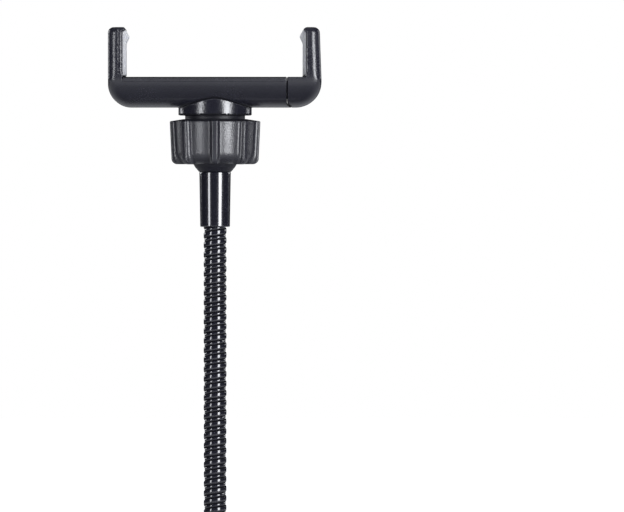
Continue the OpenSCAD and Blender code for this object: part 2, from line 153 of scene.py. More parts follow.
# %% [markdown]
# Near the object the floor is plain pale paint, which takes the shadow. Further off, where the lamps don't
# reach it, it glows a little, for the camera only, until it is as white as the backdrop. Both could be one
# gradient in the colour, but paint can't be brighter than the light on it, so the far part is an emission.

# %% Paint the floor and lift it far off
paint_tone = 0.85
lift_from, lift_to = 0.4, 2.0
lift_low, lift_high = 0.05, 0.85


def grey(tone):
    return (tone, tone, tone, 1)


floor_mat = bpy.data.materials.new("floor")
nodes, links = new_nodes(floor_mat)
floor_out = nodes.new("ShaderNodeOutputMaterial")
floor_path = nodes.new("ShaderNodeLightPath")
floor_place = nodes.new("ShaderNodeTexCoord")
floor_reach = nodes.new("ShaderNodeVectorMath")
floor_reach.operation = "LENGTH"
floor_lift = nodes.new("ShaderNodeMapRange")
floor_lift.inputs["From Min"].default_value = lift_from
floor_lift.inputs["From Max"].default_value = lift_to
floor_lift.inputs["To Min"].default_value = lift_low
floor_lift.inputs["To Max"].default_value = lift_high
floor_strength = nodes.new("ShaderNodeMath")
floor_strength.operation = "MULTIPLY"
floor_paint = nodes.new("ShaderNodeBsdfDiffuse")
floor_glow = nodes.new("ShaderNodeEmission")
floor_add = nodes.new("ShaderNodeAddShader")
links.new(floor_place.outputs["Object"], floor_reach.inputs[0])
links.new(floor_reach.outputs["Value"], floor_lift.inputs["Value"])
links.new(floor_lift.outputs[0], floor_strength.inputs[0])
links.new(floor_path.outputs["Is Camera Ray"], floor_strength.inputs[1])
links.new(floor_strength.outputs[0], floor_glow.inputs["Strength"])
links.new(floor_paint.outputs[0], floor_add.inputs[0])
links.new(floor_glow.outputs[0], floor_add.inputs[1])
links.new(floor_add.outputs[0], floor_out.inputs["Surface"])
print("floor nodes:", len(nodes))

# %% [markdown]
# The beam mirrors the floor, and its lower half would be as pale as the paint. So the floor carries a painted
# reflection: the reflections alone see a dark ring round the foot, as if a grey sheet with a hole lay there,
# and light paint beyond it. That painted reflection shades the beam from black at its middle to light at its
# lower edge. The tones go by the distance from the foot in metres.

# %% Show the reflections a darker ring
# painted reflection: floor tones that only the reflections see, with a dark ring round the foot
reflected_ring_tones = [(0.0, 0.95), (0.018, 0.85), (0.035, 0.16), (0.09, 0.16), (0.18, 0.60), (0.45, 0.85)]

reflected_ring_ramp = nodes.new("ShaderNodeValToRGB")
while len(reflected_ring_ramp.color_ramp.elements) < len(reflected_ring_tones):
    reflected_ring_ramp.color_ramp.elements.new(1.0)
for stop, (reach_m, tone_value) in zip(reflected_ring_ramp.color_ramp.elements, reflected_ring_tones):
    stop.position = reach_m
    stop.color = grey(tone_value)
floor_tone = nodes.new("ShaderNodeMix")
floor_tone.data_type = "RGBA"
floor_tone.inputs["A"].default_value = grey(paint_tone)
links.new(floor_reach.outputs["Value"], reflected_ring_ramp.inputs["Fac"])
links.new(floor_path.outputs["Is Glossy Ray"], floor_tone.inputs["Factor"])
links.new(reflected_ring_ramp.outputs["Color"], floor_tone.inputs["B"])
links.new(floor_tone.outputs["Result"], floor_paint.inputs["Color"])
print("reflected ring tones:", len(reflected_ring_tones))

# %% [markdown]
# The floor itself is one large square, so wide that its edge is lost in the white. Every mesh here goes
# through the same helper, which takes metres, checks the faces and shades them smooth.

# %% Lay the floor
def new_object(name, points, faces):
    """A smooth mesh object from points in metres and faces as lists of indices."""
    mesh = bpy.data.meshes.new(name)
    mesh.from_pydata([tuple(p) for p in points], [], [tuple(f) for f in faces])
    mesh.validate()
    mesh.shade_smooth()
    obj = bpy.data.objects.new(name, mesh)
    scene.collection.objects.link(obj)
    return obj


floor_size = 6.0
floor_corners = [(-floor_size, -floor_size, 0), (floor_size, -floor_size, 0),
                 (floor_size, floor_size, 0), (-floor_size, floor_size, 0)]
floor = new_object("floor", floor_corners, [(0, 1, 2, 3)])
floor.data.materials.append(floor_mat)
print("floor", 2 * floor_size, "m wide")

# %% [markdown]
# Dark cards stand all round the set, as a photographer puts them beside gloss black goods, so that the sides
# stay black. They could be thick boards with gaps for the lamps, but a thin wall behind the lamps is enough
# when only the reflections see it: the camera, the shadows and the fill light pass through.

# %% Stand the dark cards round it
card_mat = bpy.data.materials.new("dark card")
nodes, links = new_nodes(card_mat)
card_out = nodes.new("ShaderNodeOutputMaterial")
card_paint = nodes.new("ShaderNodeEmission")
card_paint.inputs["Color"].default_value = (0.02, 0.02, 0.028, 1)
links.new(card_paint.outputs[0], card_out.inputs["Surface"])

card_radius = 1.0
card_bottom, card_top = 0.001, 1.6
card_steps = 48
card_turns = [2 * math.pi * i / card_steps for i in range(card_steps)]
ring = [(card_radius * math.sin(a), card_radius * math.cos(a)) for a in card_turns]
card_points = [(x, y, z) for z in (card_bottom, card_top) for x, y in ring]
card_faces = [(i, (i + 1) % card_steps, card_steps + (i + 1) % card_steps, card_steps + i)
              for i in range(card_steps)]
cards = new_object("cards", card_points, card_faces)
cards.data.materials.append(card_mat)
cards.visible_camera = False
cards.visible_diffuse = False
cards.visible_transmission = False
cards.visible_shadow = False
print("cards", len(card_faces), "panels")

# %% [markdown]
# Moulded plastic is never flat. The tool leaves a fine spark-eroded grain, and the colour and the gloss
# drift a little from place to place. One group makes all three from noise in the piece's own space, so
# every piece can use it with its own grain size and depth. A low roughness with a wide drift gives the
# separate bright specks of a moulded grain, where a strong relief would only blur the light.

# %% Build the moulded grain
broad_per_metre = 60.0
relief_height = 0.00015


def add_socket(group, name, way, kind="NodeSocketFloat", value=None):
    socket = group.interface.new_socket(name=name, in_out=way, socket_type=kind)
    if value is not None:
        socket.default_value = value


def add_grain_sockets(group):
    """What a material gives the group and what it gets back."""
    add_socket(group, "Dark", "INPUT", "NodeSocketColor", (0.01, 0.01, 0.012, 1))
    add_socket(group, "Light", "INPUT", "NodeSocketColor", (0.02, 0.02, 0.024, 1))
    add_socket(group, "Grain per metre", "INPUT", value=3000)
    add_socket(group, "Grain depth", "INPUT", value=0.3)
    add_socket(group, "Roughness", "INPUT", value=0.4)
    add_socket(group, "Roughness drift", "INPUT", value=0.05)
    add_socket(group, "Color", "OUTPUT", "NodeSocketColor")
    add_socket(group, "Roughness", "OUTPUT")
    add_socket(group, "Normal", "OUTPUT", "NodeSocketVector")


def build_grain_group():
    """Fine and broad noise, half of each, drive the colour and the gloss; the fine one alone makes relief."""
    group = bpy.data.node_groups.new("moulded_grain", "ShaderNodeTree")
    add_grain_sockets(group)
    n, l = group.nodes, group.links
    given = n.new("NodeGroupInput")
    out = n.new("NodeGroupOutput")
    place = n.new("ShaderNodeTexCoord")

    fine = n.new("ShaderNodeTexNoise")
    fine.inputs["Detail"].default_value = 2.0
    l.new(place.outputs["Object"], fine.inputs["Vector"])
    l.new(given.outputs["Grain per metre"], fine.inputs["Scale"])

    broad = n.new("ShaderNodeTexNoise")
    broad.inputs["Scale"].default_value = broad_per_metre
    broad.inputs["Detail"].default_value = 3.0
    l.new(place.outputs["Object"], broad.inputs["Vector"])

    both = n.new("ShaderNodeMath")
    both.operation = "MULTIPLY_ADD"
    both.inputs[1].default_value = 0.5
    l.new(fine.outputs["Fac"], both.inputs[0])
    halved = n.new("ShaderNodeMath")
    halved.operation = "MULTIPLY"
    halved.inputs[1].default_value = 0.5
    l.new(broad.outputs["Fac"], halved.inputs[0])
    l.new(halved.outputs[0], both.inputs[2])

    tone = n.new("ShaderNodeMix")
    tone.data_type = "RGBA"
    l.new(both.outputs[0], tone.inputs["Factor"])
    l.new(given.outputs["Dark"], tone.inputs["A"])
    l.new(given.outputs["Light"], tone.inputs["B"])
    l.new(tone.outputs["Result"], out.inputs["Color"])

    drift = n.new("ShaderNodeMath")
    drift.operation = "MULTIPLY_ADD"
    l.new(both.outputs[0], drift.inputs[0])
    l.new(given.outputs["Roughness drift"], drift.inputs[1])
    l.new(given.outputs["Roughness"], drift.inputs[2])
    l.new(drift.outputs[0], out.inputs["Roughness"])

    bump = n.new("ShaderNodeBump")
    bump.inputs["Distance"].default_value = relief_height
    l.new(given.outputs["Grain depth"], bump.inputs["Strength"])
    l.new(fine.outputs["Fac"], bump.inputs["Height"])
    l.new(bump.outputs["Normal"], out.inputs["Normal"])
    return group


grain_group = build_grain_group()
print("grain group sockets:", len(grain_group.interface.items_tree))

# %% [markdown]
# Each finish is a material of its own round that group, with its own constants on the shader. The beam is
# satin and the jaws have a coarser grain, which is coarsest on the jaws' inner layer. The boss under the beam
# and the nut sparkle more, and the ball is plain. Painted shade is a darker, matte black: it lies in the gap
# between the halves, on the boss's lip and root, along the cover's top side edges and on the flanks of the
# neck's turns, where their narrow edges would catch light lines that the real ones don't show. The sleeves
# and the crests of the neck are gloss black under a clear coat.

# %% Mix the black finishes
def finish(name, tones, gloss, grain, sockets):
    """A material from the grain group. Tones are its darkest and its lightest colour, gloss is the roughness
    and its drift, grain is how many there are in a metre and how deep, and sockets are the shader's own."""
    material = bpy.data.materials.new(name)
    nodes, links = new_nodes(material)
    out = nodes.new("ShaderNodeOutputMaterial")
    shader = nodes.new("ShaderNodeBsdfPrincipled")
    for socket, value in sockets.items():
        shader.inputs[socket].default_value = value
    surface = nodes.new("ShaderNodeGroup")
    surface.node_tree = grain_group
    surface.inputs["Dark"].default_value = (*tones[0], 1)
    surface.inputs["Light"].default_value = (*tones[1], 1)
    surface.inputs["Roughness"].default_value = gloss[0]
    surface.inputs["Roughness drift"].default_value = gloss[1]
    surface.inputs["Grain per metre"].default_value = grain[0]
    surface.inputs["Grain depth"].default_value = grain[1]
    links.new(surface.outputs["Color"], shader.inputs["Base Color"])
    links.new(surface.outputs["Roughness"], shader.inputs["Roughness"])
    links.new(surface.outputs["Normal"], shader.inputs["Normal"])
    links.new(shader.outputs[0], out.inputs["Surface"])
    return material


def black_finish(name, dark, light, gloss, grain, specular, coat=0.0, coat_roughness=0.05):
    return finish(name, (dark, light), gloss, grain, {
        "Specular IOR Level": specular, "Coat Weight": coat, "Coat Roughness": coat_roughness})


clamp_black = black_finish("clamp black", (0.006, 0.006, 0.010), (0.013, 0.013, 0.020),
                           gloss=(0.10, 0.28), grain=(2200, 0.35), specular=0.7)
jaw_black = black_finish("jaw black", (0.008, 0.008, 0.013), (0.016, 0.016, 0.024),
                         gloss=(0.11, 0.36), grain=(2000, 0.4), specular=0.6)
liner_black = black_finish("liner black", (0.008, 0.008, 0.013), (0.018, 0.018, 0.026),
                           gloss=(0.04, 0.52), grain=(1500, 0.8), specular=0.6)
# painted shade: a darker, matte black that stands in for shade in the gap, at the boss and on the neck's
# flanks
painted_shade_black = black_finish("painted shade black", (0.004, 0.004, 0.006), (0.008, 0.008, 0.010),
                          gloss=(0.6, 0.05), grain=(2600, 0.2), specular=0.1)
nut_black = black_finish("nut black", (0.012, 0.012, 0.016), (0.024, 0.024, 0.031),
                         gloss=(0.12, 0.38), grain=(1900, 0.4), specular=0.6)
boss_black = black_finish("boss black", (0.006, 0.006, 0.010), (0.013, 0.013, 0.020),
                          gloss=(0.02, 0.36), grain=(2000, 0.35), specular=0.75)
ball_black = black_finish("ball black", (0.005, 0.005, 0.009), (0.010, 0.010, 0.015),
                          gloss=(0.42, 0.08), grain=(3500, 0.2), specular=0.3)
sleeve_black = black_finish("sleeve black", (0.005, 0.005, 0.009), (0.009, 0.009, 0.014),
                            gloss=(0.20, 0.05), grain=(900, 0.05), specular=0.5, coat=1.0)
neck_black = black_finish("neck black", (0.007, 0.007, 0.011), (0.012, 0.012, 0.018),
                          gloss=(0.16, 0.08), grain=(1500, 0.10), specular=0.2, coat=1.0, coat_roughness=0.06)
print("finishes so far:", len(bpy.data.materials))

# %% [markdown]
# The screws, pins and springs are plated steel. It is all reflection, so Metallic is 1 and the colour only
# tints what it mirrors. The pads are soft and slightly see-through, and a little light that travels under
# the surface shows that better than a paler colour would.

# %% Mix the steel and the pad rubber
steel = finish("plated steel", ((0.50, 0.51, 0.53), (0.68, 0.69, 0.71)),
               gloss=(0.25, 0.15), grain=(4000, 0.15), sockets={"Metallic": 1.0})
pad_rubber = finish("pad rubber", ((0.54, 0.545, 0.56), (0.62, 0.625, 0.64)),
                    gloss=(0.5, 0.1), grain=(1800, 0.08),
                    sockets={"Subsurface Weight": 0.25, "Subsurface Radius": (0.0015, 0.0015, 0.0018),
                             "Specular IOR Level": 0.4})
print("finishes:", len(bpy.data.materials))

# %% [markdown]
# A moulding has no sharp edges, and it is the small roundings that catch the light. The clamp's two halves
# are made again here as distance fields: a field is below zero inside the plastic, and where two of them are
# combined, the corner gets a true radius. Bevels would do for a plain block, but not where a heel, a belly
# and a skirt run into each other. All sizes in these cells are millimetres, the same as in the frame, and
# they become metres only when a skin is made.

# %% Combine distances with a radius
def cut_round(a, b, r):
    """Inside both a and b, with an outer corner of radius r."""
    return np.minimum(-r, np.maximum(a, b)) + np.hypot(np.maximum(a + r, 0), np.maximum(b + r, 0))


def join_round(a, b, r):
    """Inside a or b, with a fillet of radius r in the corner between them."""
    return np.maximum(r, np.minimum(a, b)) - np.hypot(np.maximum(r - a, 0), np.maximum(r - b, 0))


def box_field(x, y, z, low, high, r=0.3):
    """A box with rounded edges."""
    q = [np.abs(v - (a + b) / 2) - (b - a) / 2 + r for v, a, b in zip((x, y, z), low, high)]
    outside = np.sqrt(sum(np.maximum(v, 0) ** 2 for v in q))
    return outside + np.minimum(np.maximum(np.maximum(q[0], q[1]), q[2]), 0) - r


print("a radius of 1 mm takes", round(float(cut_round(0.0, 0.0, 1.0)), 3), "mm off a square corner")

# %% [markdown]
# A field becomes a skin on a grid: each grid cell that the surface crosses gets one point, and each grid
# edge that it crosses gets one face. The points are then pulled onto the exact surface along the field's
# slope, and the same slope gives the shading, so that a coarse grid still looks like smooth plastic.

# %% Find the points and faces of a skin
cell_corners = [(i, j, k) for i in (0, 1) for j in (0, 1) for k in (0, 1)]


def crossing_points(values, cells):
    """For each cell the mean of the places where the surface crosses its edges, counted in cells."""
    at_corner = np.stack([values[tuple((cells + c).T)] for c in cell_corners], axis=1)
    total, hits = np.zeros((len(cells), 3)), np.zeros((len(cells), 1))
    for a in range(8):
        for b in range(a + 1, 8):
            if sum(abs(m - n) for m, n in zip(cell_corners[a], cell_corners[b])) == 1:
                fa, fb = at_corner[:, a], at_corner[:, b]
                crossed = (fa < 0) != (fb < 0)
                share = np.where(crossed, fa / np.where(crossed, fa - fb, 1), 0)[:, None]
                first, second = np.array(cell_corners[a]), np.array(cell_corners[b])
                spot = first + share * (second - first)
                total += np.where(crossed[:, None], spot, 0)
                hits += crossed[:, None]
    return cells + total / hits


def edge_faces(inside, number):
    """A face for each grid edge that the surface crosses, between the points of the four cells round it."""
    size = number.shape
    faces = []
    for axis in range(3):
        u, v = np.eye(3, dtype=int)[(axis + 1) % 3], np.eye(3, dtype=int)[(axis + 2) % 3]
        here = np.take(inside, range(size[axis]), axis)
        there = np.take(inside, range(1, size[axis] + 1), axis)
        for way in (True, False):
            edges = np.argwhere((here != there) & (here == way))
            around = np.stack([number[tuple((edges - back).T)] for back in (0 * u, u, u + v, v)], axis=1)
            faces.append(around if way else around[:, ::-1])
    return np.concatenate(faces)


# %% Skin a field
pull_rounds = 4
pull_limit = 0.4
least_slope = 0.05


def field_slope(field, p, h=0.02):
    """Which way the field rises at each point, and how fast."""
    steps = np.eye(3) * h
    return np.stack([field(*(p + d).T) - field(*(p - d).T) for d in steps], axis=1) / (2 * h)


def skin(name, field, low, high, step):
    """A mesh object of the surface where the field is zero, found on a grid between two corners."""
    axes = [np.arange(a, b + step, step) for a, b in zip(low, high)]
    values = field(*np.meshgrid(*axes, indexing="ij"))
    inside = values < 0
    size = [n - 1 for n in values.shape]
    filled = sum(inside[i:i + size[0], j:j + size[1], k:k + size[2]].astype(int) for i, j, k in cell_corners)
    cells = np.argwhere((filled > 0) & (filled < 8))
    number = np.full(size, -1)
    number[tuple(cells.T)] = np.arange(len(cells))
    points = np.array(low) + crossing_points(values, cells) * step
    for _ in range(pull_rounds):
        slope = field_slope(field, points)
        steepness = np.maximum((slope ** 2).sum(axis=1, keepdims=True), least_slope)
        pull = -field(*points.T)[:, None] * slope / steepness
        points += np.clip(pull, -pull_limit * step, pull_limit * step)
    faces = edge_faces(inside, number)
    obj = new_object(name, points * MM, faces)
    slope = field_slope(field, np.array([v.co for v in obj.data.vertices]) / MM)
    normals = slope / np.linalg.norm(slope, axis=1, keepdims=True)
    obj.data.normals_split_custom_set_from_vertices(normals.tolist())
    print(name, "points", len(points), "faces", len(faces))
    return obj


# %% [markdown]
# Seen from its end the clamp is upright above the bed, and below it a wide curve draws it in to a flat
# belly. Each jaw's inner face leans out at its very top to hold the phone, and a fine line down its front
# edge shows where the outer shell meets the inner layer. Both halves share all this, so it is written once,
# as what the outer face, the sides and the inner face have in common.

# %% Set out what both halves share
beam_z, cover_z, bed_z, top_z = 195.2, 204.5, 205.7, 223.1
end_x, half_d, split_x, seam = 37.35, 17.0, 25.2, 0.1
fixed_face, sliding_face = -32.25, 31.85
belly_in, belly_z, belly_r, waist_r = 7.76, 215.28, 27.0, 1.0
overhang_z, overhang_rise = top_z - 1.7, 0.85
jaw_edge_r, outer_top_r = 3.4, 2.0
bed_edge_r, face_edge_gain, share_run = 0.08, 0.7, 2.0
liner_depth, groove_out, groove_r, groove_over = 1.7, 0.42, 0.5, 0.8


def sides_field(y, z, under=0.03):
    """The clamp seen from its end, a hair under the size of the cover's side."""
    belly = np.hypot(np.abs(y) + belly_in, z - belly_z) - belly_r
    return cut_round(np.abs(y) - half_d, belly, waist_r) + under


def inner_face(z):
    """How far a jaw's inner face stands out towards the phone: its top overhangs."""
    rise = np.clip((z - overhang_z) / overhang_rise, 0, 1)
    return rise * rise * (3 - 2 * rise)


def moulding(outer, notch, y, z, inner_share, inner_top):
    """Outer face, sides and inner face; inner_share is 0 at a jaw's outer face and 1 at its inner face."""
    shell = cut_round(outer, sides_field(y, z), jaw_edge_r)
    shell = cut_round(shell, notch, bed_edge_r + face_edge_gain * np.clip((z - bed_z) / share_run, 0, 1))
    return cut_round(shell, z - top_z, outer_top_r + (inner_top - outer_top_r) * np.clip(inner_share, 0, 1))


def liner_groove(x, y, z, seam_x):
    """The line down a jaw's front edge, where the outer shell meets the inner layer."""
    groove = np.hypot(x - seam_x, np.abs(y) - half_d - groove_out) - groove_r
    return np.maximum(groove, bed_z + groove_over - z)


print("clamp", 2 * end_x, "x", 2 * half_d, "mm, jaws", round(sliding_face - fixed_face, 2), "mm apart")

# %% [markdown]
# The housing adds its heel, and the skirt that reaches under the sliding jaw in a quarter round. The boss and
# the slotted socket for the ball hang under it, and the slide's channel is cut out of it. The real piece is
# one moulding with all of these, so they are one field and one skin here.

# %% Shape the housing
face_scale = 0.9
fixed_heel_r, fixed_share_x, fixed_inner_top = 8.0, -35.0, 0.8
skirt_r = 2.2
skirt_x, skirt_z = split_x + seam + skirt_r, beam_z + seam + skirt_r
skirt_share = 0.35
skirt_end = skirt_x - skirt_share * skirt_r
housing_end_r = 0.2
boss_r, boss_z, boss_edge, boss_fillet = 12.85, 192.4, 0.25, 0.05
boss_top_z, boss_top_edge = 199.0, 0.5
socket_r, socket_z, socket_edge = 10.5, 176.5, 1.5
socket_top_z, socket_top_edge = 197.0, 0.2
ball_z, seat_r, slot_half, slot_top_z = 179.1, 8.55, 0.5, 185.9
channel_low, channel_high = (-30.15, -10.8, 198.2), (60.0, 10.8, 220.0)


def hung_parts(body, x, y, z):
    """The housing with its boss, its socket, and the seat and the slots cut into that."""
    r = np.hypot(x, y)
    boss = cut_round(cut_round(r - boss_r, boss_z - z, boss_edge), z - boss_top_z, boss_top_edge)
    body = join_round(body, boss, boss_fillet)
    socket = cut_round(r - socket_r, socket_z - z, socket_edge)
    socket = cut_round(socket, z - socket_top_z, socket_top_edge)
    body = np.minimum(body, socket)
    seat = np.sqrt(r ** 2 + (z - ball_z) ** 2) - seat_r
    slots = np.minimum(np.abs(x - y), np.abs(x + y)) / math.sqrt(2) - slot_half
    return np.maximum(body, -np.minimum(seat, np.maximum(slots, z - slot_top_z)))


def housing(x, y, z):
    outer = cut_round(-(x + end_x), -(z - beam_z), fixed_heel_r)
    notch = np.minimum((x - fixed_face - inner_face(z)) * face_scale, z - cover_z)
    lap = (skirt_r + seam) - np.hypot(x - skirt_x, z - skirt_z)
    end = np.where(z > skirt_z, x - split_x, np.where(x < skirt_x, lap, x - skirt_x))
    end = np.maximum(end, x - skirt_end)
    shell = moulding(outer, notch, y, z, (x - fixed_share_x) / share_run, fixed_inner_top)
    body = cut_round(shell, end, housing_end_r)
    body = np.maximum(body, -liner_groove(x, y, z, fixed_face - liner_depth))
    body = hung_parts(body, x, y, z)
    channel = box_field(x, y, z, channel_low, channel_high)
    return np.maximum(body, -np.maximum(channel, -(x - fixed_face)))


print("skirt ends at x", round(skirt_end, 2), "boss", 2 * boss_r, "socket", 2 * socket_r, "mm across")

# %% [markdown]
# The sliding jaw's outer side leans in by two degrees. Its line starts at a corner that the round heel then
# cuts off, and that corner is placed so that the heel just reaches the clamp's end. A tongue of two widths
# runs in the housing's channel, with a slot for the stop pin and two pockets where the springs pull. The bead
# stands at the foot of its pad.

# %% Shape the sliding jaw
lean = math.radians(2)
hair = 0.015
jaw_start_r = 0.1
sliding_heel_r, sliding_share_x, sliding_inner_top = 9.5, 34.5, 1.5
foot_x = end_x - hair - sliding_heel_r * (1 - math.cos(lean) - math.sin(lean))
foot_z = beam_z + sliding_heel_r * math.sin(lean)
bead_r, bead_half = 0.6, 15.0
tongue_from, tongue_to = -26.15, 27.2
flange_half, flange_low, flange_high = 10.5, 202.2, 204.2
stem_half, stem_low, stem_high = 6.0, 198.5, 203.2
stop_r, stop_x, travel = 1.5, 10.0, 28.0
pocket_low, pocket_high = (20.0, 6.55, 198.5), (30.75, 10.25, 202.2)
pocket_from, pocket_r = 24.2, 0.1


def bead_field(x, y, z, bead_x):
    """The low round bead across the bed at the foot of a pad."""
    return np.maximum(np.hypot(x - bead_x, z - bed_z) - bead_r, np.abs(y) - bead_half)


def tongue_field(x, y, z):
    """A wide flange on a narrower stem, which the stop pin's slot is cut through."""
    flange = box_field(x, y, z, (tongue_from, -flange_half, flange_low),
                       (tongue_to, flange_half, flange_high))
    stem = box_field(x, y, z, (tongue_from, -stem_half, stem_low),
                     (tongue_to, stem_half, stem_high))
    along = np.clip(x, stop_x - travel, stop_x)
    slot = np.maximum(np.hypot(x - along, y) - stop_r, z - flange_low)
    return np.minimum(flange, np.maximum(stem, -slot))


def jaw(x, y, z):
    leaning = (x - foot_x) * math.cos(lean) + (z - foot_z) * math.sin(lean)
    outer = cut_round(leaning, -(z - beam_z), sliding_heel_r)
    notch = np.minimum((sliding_face - inner_face(z) - x) * face_scale, z - bed_z)
    lap = np.hypot(x - skirt_x, z - skirt_z) - skirt_r
    below = np.where(x > skirt_end + seam, -1.0, np.maximum(lap, -1.0))
    start = np.where(z > skirt_z, split_x + seam - x, below)
    shell = moulding(outer, notch, y, z, (sliding_share_x - x) / share_run, sliding_inner_top)
    body = cut_round(shell, start, jaw_start_r)
    body = np.maximum(body, -liner_groove(x, y, z, sliding_face + liner_depth))
    body = np.minimum(body, bead_field(x, y, z, sliding_face - bead_r))
    body = np.minimum(body, tongue_field(x, y, z))
    pockets = box_field(x, np.abs(y), z, pocket_low, pocket_high, pocket_r)
    return np.maximum(body, -np.where(x > pocket_from, pockets, 1.0))


print("the jaw's outer line starts at x", round(foot_x, 2), "z", round(foot_z, 2))

# %% [markdown]
# A thin plate closes the channel and makes the bed that the phone lies on. Its ends are square, its sides
# follow the clamp's, and four sunk screws hold it down.

# %% Shape the bed cover
cover_lip, cover_r = 0.7, 0.1
screw_xs, screw_y = (-27.15, 22.2), 12.9
shank_r, head_r, head_depth = 1.1, 2.1, 0.9


def cover(x, y, z):
    low, high = (fixed_face, -half_d - 1, cover_z - cover_lip), (split_x, half_d + 1, bed_z)
    plate = cut_round(box_field(x, y, z, low, high, cover_r), sides_field(y, z, 0.0), cover_r)
    bead = bead_field(x, y, z, fixed_face + bead_r)
    screw_x = np.where(x < 0, *screw_xs)
    hole_r = np.clip(shank_r + (z - bed_z + head_depth), shank_r, head_r)
    sink = np.hypot(x - screw_x, np.abs(y) - screw_y) - hole_r
    return np.maximum(np.minimum(plate, bead), -sink)


print("bed", round(split_x - fixed_face, 2), "mm long, screws", round(screw_xs[1] - screw_xs[0], 2), "apart")

# %% [markdown]
# One skin carries several finishes, so each of its faces is told which one it has by where its middle lies.
# That keeps the moulding in one piece, where cutting it into six would leave joints. The order of the tests
# matters: the socket comes first, then the painted shade along the gap and on the boss's lip, then the boss
# and the painted shade round its root, then the jaws, and the beam is what is left.

# %% Say where each finish lies
clamp_order = (clamp_black, jaw_black, painted_shade_black, ball_black, liner_black, boss_black)
on_beam, on_jaw, on_painted_shade, on_socket, on_liner, on_boss = range(len(clamp_order))
seam_shade_band, seam_shade_above_bed = 0.3, 0.3
boss_lip_shade, boss_band_top, boss_wall_r, boss_root_shade_r = 0.45, 199.5, 12.97, 13.6
liner_above_bed, jaw_below_bed, liner_reach = 0.4, 0.6, 1.8
far_off = 9.0


def seam_distance(x, z):
    """How far a place is from the gap between the two halves, seen from the front."""
    if z > skirt_z:
        return abs(x - split_x - seam / 2)
    if x < skirt_end + seam_shade_band:
        return abs(math.hypot(x - skirt_x, z - skirt_z) - skirt_r)
    return far_off


def finish_at(x, y, z):
    """Which finish a place on the clamp has."""
    from_axis = math.hypot(x, y)
    if z < boss_z - 0.05:
        return on_socket
    # painted shade along the gap between the halves and on the boss's lower lip
    if z < boss_z + boss_lip_shade or (z < bed_z + seam_shade_above_bed and seam_distance(x, z) < seam_shade_band):
        return on_painted_shade
    if z < boss_band_top and from_axis < boss_wall_r:
        return on_boss
    # painted shade round the boss's root, where it meets the belly
    if z < boss_band_top and from_axis < boss_root_shade_r:
        return on_painted_shade
    in_jaw = fixed_face - liner_reach < x < 0 or 0 < x < sliding_face + liner_reach
    if z > bed_z + liner_above_bed and in_jaw:
        return on_liner
    if z > bed_z - jaw_below_bed:
        return on_jaw
    return on_beam


def clamp_finishes(obj):
    """Give every face of a clamp half the finish of the place where it lies."""
    for material in clamp_order:
        obj.data.materials.append(material)
    for face in obj.data.polygons:
        face.material_index = finish_at(*(v / MM for v in face.center))


print("finishes on the clamp:", len(clamp_order))

# %% [markdown]
# Now the three pieces are made. A grid of 0.42 mm shows every form and still keeps the skins light. Radii
# smaller than a cell come out as narrow chamfers, and at the gap, the boss and the cover's edges painted shade
# keeps them dark where they would glint. Each skin rides on the body of the solid that it replaces, so that it
# moves with it.

# %% Skin both halves and the cover
grid = 0.42
housing_skin = skin("housing_moulding", housing, (-38.2, -17.9, 175.6), (27.8, 17.9, 223.9), grid)
clamp_finishes(housing_skin)
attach(housing_skin, "clamp")
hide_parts("clamp_body")

# painted shade: a darker matte line along the top of the cover's sides
cover_shade_top_band, cover_shade_side_band = 0.4, 0.3
cover_skin = skin("cover_plate", cover, (-33.1, -17.7, 203.9), (25.9, 17.7, 206.9), grid)
cover_skin.data.materials.append(clamp_black)
cover_skin.data.materials.append(painted_shade_black)
for face in cover_skin.data.polygons:
    at_top = face.center.z > (bed_z - cover_shade_top_band) * MM
    at_side = abs(face.center.y) > (half_d - cover_shade_side_band) * MM
    face.material_index = int(at_top and at_side)
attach(cover_skin, "clamp")
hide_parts("bed_cover")

jaw_skin = skin("jaw_moulding", jaw, (-27.1, -17.9, 194.4), (38.2, 17.9, 223.9), grid)
clamp_finishes(jaw_skin)
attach(jaw_skin, "jaw")
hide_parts("sliding_jaw")

# %% [markdown]
# Sleeves and ball are turned shapes, as from a lathe, so each is a profile carried round the axis. That needs
# far fewer faces than a field and gives clean streaks. A profile is a closed loop of places, each a radius and
# a height, which runs up the outside and down the inside.

# %% Turn round pieces from profiles
def arc(centre, radius, from_deg, to_deg, steps=6):
    angles = np.radians(np.linspace(from_deg, to_deg, steps + 1))
    return [(centre[0] + radius * math.cos(a), centre[1] + radius * math.sin(a)) for a in angles]


def straight(a, b, steps):
    return [(a[0] + (b[0] - a[0]) * t, a[1] + (b[1] - a[1]) * t) for t in np.linspace(0, 1, steps + 1)]


def turned(name, rings, angles):
    """A closed skin from rings of points; rings is rows of (radius for each angle, height for each angle)."""
    rows, columns = len(rings), len(angles)
    points = [(r[k] * math.cos(angles[k]) * MM, r[k] * math.sin(angles[k]) * MM, z[k] * MM)
              for r, z in rings for k in range(columns)]
    faces = [(i * columns + k, i * columns + (k + 1) % columns,
              (i + 1) % rows * columns + (k + 1) % columns, (i + 1) % rows * columns + k)
             for i in range(rows) for k in range(columns)]
    return new_object(name, points, faces)


def lathe(name, profile, columns=96):
    angles = [2 * math.pi * k / columns for k in range(columns)]
    return turned(name, [([r] * columns, [z] * columns) for r, z in profile], angles)


# %% [markdown]
# The upper sleeve joins the neck to the ball's stud, so its bore has a step: wide for the neck below, narrow
# for the stud above. It widens a little upwards. The lower one closes the neck's foot, and its profile leaves
# only a pinhole in the floor of its bore. Small radii at both rims catch the light.

